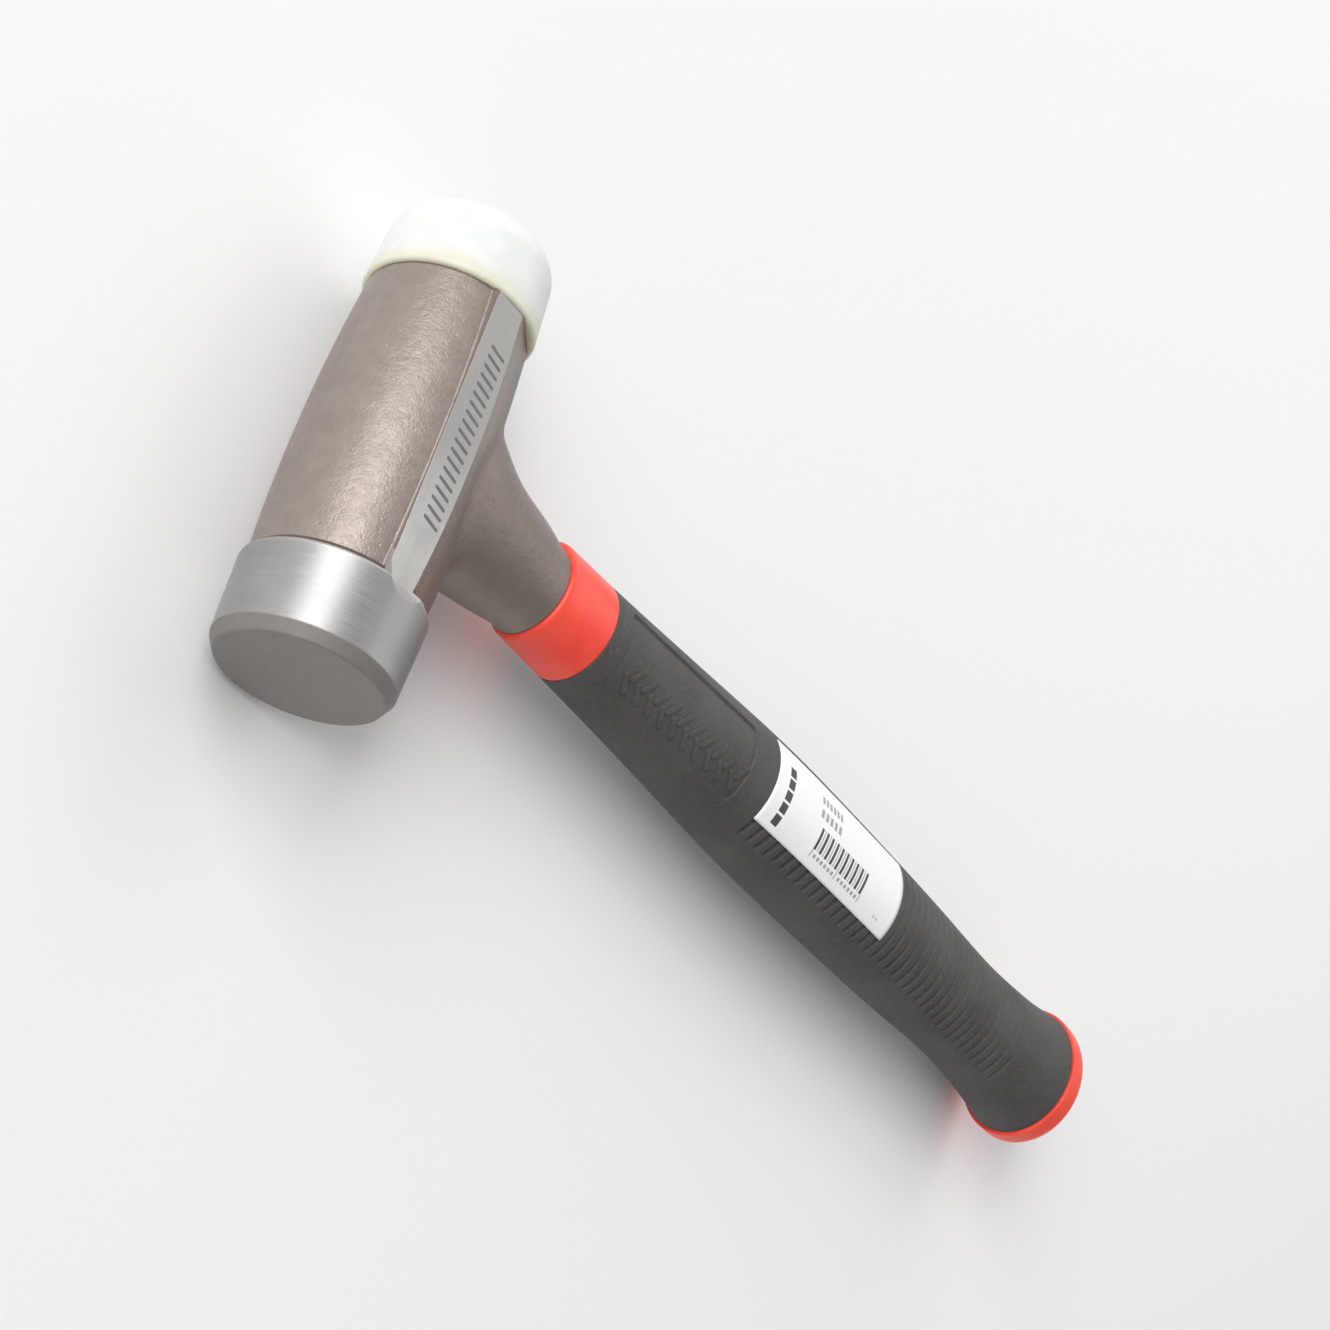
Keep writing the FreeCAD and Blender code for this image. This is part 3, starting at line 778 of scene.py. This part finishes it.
def metal_material(name, dark, light, rough, streak=(1.0, 1.0, 1.0)):
    """Bare metal with a grain that streak can draw out."""
    nodes = Nodes(name)
    grain = nodes.noise(nodes.stretch(nodes.work_place(), streak), 1.0, 4.0, 0.6)
    nodes.set(Base_Color=nodes.shades(grain, dark, light), Metallic=0.95)
    nodes.set(Roughness=nodes.wander(grain, rough - 0.06, rough + 0.06))
    nodes.set(Normal=nodes.bump(grain, 0.02, 0.4))
    return nodes.material


def plain_material(name, dark, light, rough, scale=0.8, depth=0.03):
    """Paper, ink, resin and the like: two shades, a roughness and a grain of its own scale."""
    nodes = Nodes(name)
    grain = nodes.noise(nodes.work_place(), scale, 4.0, 0.6)
    nodes.set(Base_Color=nodes.shades(grain, dark, light))
    nodes.set(Roughness=nodes.wander(grain, rough - 0.05, rough + 0.05))
    nodes.set(Normal=nodes.bump(grain, depth, 0.4))
    return nodes.material


def ink_material(name, dark, light):
    return plain_material(name, dark, light, 0.5, 3.0, 0.005)


# ---------------------------------------------------------------- the pieces

def carried_over(node, material):
    """Gives a CAD node its new material."""
    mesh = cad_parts[node].data
    mesh.materials.clear()
    mesh.materials.append(material)


def add_piece(obj, slot, *nodes):
    """Attaches a new piece to the hammer's body and hides the CAD nodes that it replaces; slot is not
    used.
    """
    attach(obj, "hammer")
    if nodes:
        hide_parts(*nodes)


def sleeve_object(material):
    points, faces = grip_mesh()
    return make_object("rubber_sleeve", points, faces, [material])


def collar_object(material):
    inner = 8.0
    profile = split_long(rounded_outline([
        (COLLAR_TOP, inner, 0), (COLLAR_TOP, COLLAR_TOP_HALF, COLLAR_TOP_ROUND),
        (GRIP_TOP, SECTION_WIDTHS[0], COLLAR_FOOT_ROUND), (GRIP_TOP, inner, 0)], 6), 1.0)
    points, faces = tube_mesh(handle_rings(profile, COLLAR_SHIFT))
    return make_object("red_collar", points, faces, [material])


def cap_object(material):
    profile = split_long(rounded_outline([
        (GRIP_BOTTOM, 6.0, 0), (GRIP_BOTTOM, CAP_HALF, CAP_TOP_ROUND),
        (CAP_END, CAP_HALF, CAP_ROUND), (CAP_END, 0.5, 0)], 12), 1.5)
    points, faces = tube_mesh(handle_rings(profile, CAP_SHIFT))
    return make_object("red_end_cap", points, faces, [material])


def soft_face_object(material):
    seat = NYLON_START + NYLON_GAP
    profile = split_long(rounded_outline([
        (seat, 5.0, 0), (seat, NYLON_RADIUS, NYLON_SEAT_ROUND),
        (NYLON_END, NYLON_FACE_RADIUS, NYLON_FACE_ROUND), (NYLON_END, 0.5, 0)], 14), 1.0)
    points, faces = tube_mesh(head_rings(profile))
    return make_object("nylon_striking_face", points, faces, [material])


def chevron_object(material):
    marks = []
    for step in range(CHEVRON_COUNT):
        top = CHEVRON_TOP + step * CHEVRON_PITCH
        for x0, depth0, x1, depth1 in CHEVRON_STROKES:
            marks.append(capsule(x0, top + depth0, x1, top + depth1, CHEVRON_WIDTH))
    return join_marks("panel_chevrons", marks, CHEVRON_LAYERS, on_panel, material)


def etching_object(material):
    marks = []
    for index in range(ETCH_COUNT):
        x = ETCH_START + index * ETCH_PITCH
        marks.append(capsule(x, ETCH_BOTTOM, x + ETCH_SLANT, ETCH_BOTTOM + ETCH_HEIGHT, ETCH_WIDTH))
    return join_marks("pad_etching", marks, ETCH_LAYERS, on_pad, material)


def label_marks():
    """Plain blocks and evenly spaced bars, in place of print. A mark is (left, right, top, bottom,
    slot)."""
    marks = []
    for index in range(BLOCK_COUNT):
        left = BLOCK_LEFT + BLOCK_PITCH * index
        marks.append((left, left + BLOCK_SIZE, BLOCK_TOP, BLOCK_TOP + BLOCK_SIZE, DARK))
    for count, pitch, first, left, right, height, slot in BAR_ROWS:
        for index in range(count):
            top = first + pitch * index
            marks.append((left, right, top, top + height, slot))
    return marks


def grid_lines(low, high, edges, step):
    """Sorted mesh lines that hold every edge and leave no gap wider than step."""
    fixed = sorted(set(round(value, 3) for value in [low, high, *edges]))
    lines = [fixed[0]]
    for a, b in zip(fixed, fixed[1:]):
        parts = max(1, math.ceil((b - a) / step))
        lines += [a + (b - a) * part / parts for part in range(1, parts + 1)]
    return np.array(lines)


def label_object(paper_and_inks):
    """A thin curved sheet whose mesh lines follow the edges of every printed mark."""
    marks = label_marks()
    xs = grid_lines(LABEL_LEFT, LABEL_RIGHT, [mark[i] for mark in marks for i in (0, 1)], 0.6)
    depths = grid_lines(LABEL_TOP, LABEL_BOTTOM, [mark[i] for mark in marks for i in (2, 3)], 1.2)
    across, down = np.meshgrid(xs, depths)
    angle = upper_angle(across, down)
    top = grip_point(down, angle, LABEL_THICKNESS).reshape(-1, 3)
    under = grip_point(down, angle, LABEL_GAP).reshape(-1, 3)
    rows, columns = across.shape
    faces = []
    slots = []
    for row in range(rows - 1):
        depth = (depths[row] + depths[row + 1]) / 2
        for column in range(columns - 1):
            x = (xs[column] + xs[column + 1]) / 2
            corner = row * columns + column
            faces.append((corner, corner + columns, corner + columns + 1, corner + 1))
            inks = [mark[4] for mark in marks if mark[0] < x < mark[1] and mark[2] < depth < mark[3]]
            slots.append(inks[0] if inks else PAPER)
    shift = rows * columns
    back = [tuple(i + shift for i in reversed(face)) for face in faces]
    border = list(range(columns))
    border += [row * columns + columns - 1 for row in range(1, rows)]
    border += [shift - 1 - column for column in range(1, columns)]
    border += [row * columns for row in range(rows - 2, 0, -1)]
    walls = [(a, b, b + shift, a + shift) for a, b in zip(border, border[1:] + border[:1])]
    slots += [PAPER] * (len(back) + len(walls))
    return make_object("printed_label", np.vstack([top, under]), faces + back + walls,
                       paper_and_inks, slots)


rubber = rubber_material()
red = red_material()
nylon = nylon_material()
head = head_material()
etched = plain_material("etched_steel", colour(0.11, 0.11, 0.11), colour(0.16, 0.155, 0.15), 0.55)
plated = metal_material("zinc_plated_steel", colour(0.55, 0.55, 0.56), colour(0.68, 0.68, 0.70), 0.30)
shot = metal_material("shot_steel", colour(0.38, 0.38, 0.38), colour(0.52, 0.52, 0.52), 0.42)
tube = metal_material("tube_steel", colour(0.45, 0.45, 0.46), colour(0.58, 0.58, 0.59), 0.33,
                      (1.0, 0.05, 1.0))
seal = plain_material("seal_rubber", colour(0.03, 0.03, 0.03), colour(0.05, 0.05, 0.05), 0.55)
resin = plain_material("cured_resin", colour(0.17, 0.18, 0.20), colour(0.24, 0.25, 0.27), 0.35)
core = plain_material("core_plastic", colour(0.06, 0.06, 0.06), colour(0.09, 0.09, 0.09), 0.5)
paper = plain_material("label_paper", colour(0.89, 0.89, 0.91), colour(0.94, 0.94, 0.96), 0.48,
                       1.2, 0.01)
dark_ink = ink_material("dark_ink", colour(0.045, 0.045, 0.05), colour(0.08, 0.08, 0.085))
grey_ink = ink_material("grey_ink", colour(0.32, 0.32, 0.33), colour(0.44, 0.44, 0.45))
pale_ink = ink_material("pale_ink", colour(0.58, 0.58, 0.63), colour(0.66, 0.66, 0.71))

for node, material in (("head_forging", head), ("face_stud", plated), ("plug_seal", seal),
                       ("chamber_plug", plated), ("steel_shot", shot), ("shaft_tube", tube),
                       ("bonding_sleeve", resin), ("tube_expander", plated), ("grip_core", core)):
    carried_over(node, material)

add_piece(sleeve_object(rubber), "grip_rubber", "rubber_grip")
add_piece(collar_object(red), "red_plastic", "grip_collar")
add_piece(cap_object(red), "red_plastic", "end_cap")
add_piece(soft_face_object(nylon), "nylon", "nylon_face")
add_piece(chevron_object(rubber), "grip_rubber")
add_piece(etching_object(etched), "forged_steel")
add_piece(label_object([paper, dark_ink, grey_ink, pale_ink]), "label_paper", "product_label")


# ---------------------------------------------------------------- floor, light and camera

def floor_object():
    nodes = Nodes("floor")
    nodes.set(Base_Color=colour(0.86, 0.86, 0.86), Roughness=0.9)
    mesh = bpy.data.meshes.new("floor")
    corners = [(-1, -1), (1, -1), (1, 1), (-1, 1)]
    mesh.from_pydata([(x * FLOOR_HALF, y * FLOOR_HALF, 0) for x, y in corners], [], [(0, 1, 2, 3)])
    mesh.materials.append(nodes.material)
    floor = bpy.data.objects.new("floor", mesh)
    bpy.context.scene.collection.objects.link(floor)


def area_light(name, place, aim, size, power):
    data = bpy.data.lights.new(name, "AREA")
    data.shape = "RECTANGLE"
    data.size, data.size_y = size
    data.energy = power
    lamp = bpy.data.objects.new(name, data)
    lamp.location = place
    lamp.rotation_mode = "QUATERNION"
    lamp.rotation_quaternion = (Vector(aim) - Vector(place)).to_track_quat("-Z", "Y")
    bpy.context.scene.collection.objects.link(lamp)


def world_light():
    world = bpy.data.worlds.new("studio")
    world.use_nodes = True
    background = world.node_tree.nodes["Background"]
    background.inputs["Color"].default_value = colour(1.0, 1.0, 1.0)
    background.inputs["Strength"].default_value = WORLD_STRENGTH
    bpy.context.scene.world = world


def camera():
    data = bpy.data.cameras.new("camera")
    data.lens = CAMERA_LENS
    data.sensor_width = CAMERA_SENSOR
    data.clip_start = 0.01
    data.clip_end = 20.0
    obj = bpy.data.objects.new("camera", data)
    azimuth = math.radians(CAMERA_AZIMUTH)
    elevation = math.radians(CAMERA_ELEVATION)
    back = Vector((math.sin(azimuth) * math.cos(elevation),
                   -math.cos(azimuth) * math.cos(elevation), math.sin(elevation)))
    turn = Matrix.Rotation(math.radians(CAMERA_ROLL), 4, "Z")
    look = (-back).to_track_quat("-Z", "Y").to_matrix().to_4x4()
    place = Vector(to_row(CAMERA_TARGET)) + back * CAMERA_DISTANCE
    obj.matrix_world = Matrix.Translation(place) @ look @ turn
    bpy.context.scene.collection.objects.link(obj)
    bpy.context.scene.camera = obj


floor_object()
world_light()
for light in LIGHTS:
    area_light(*light)
camera()
bpy.context.scene.view_settings.view_transform = "Standard"
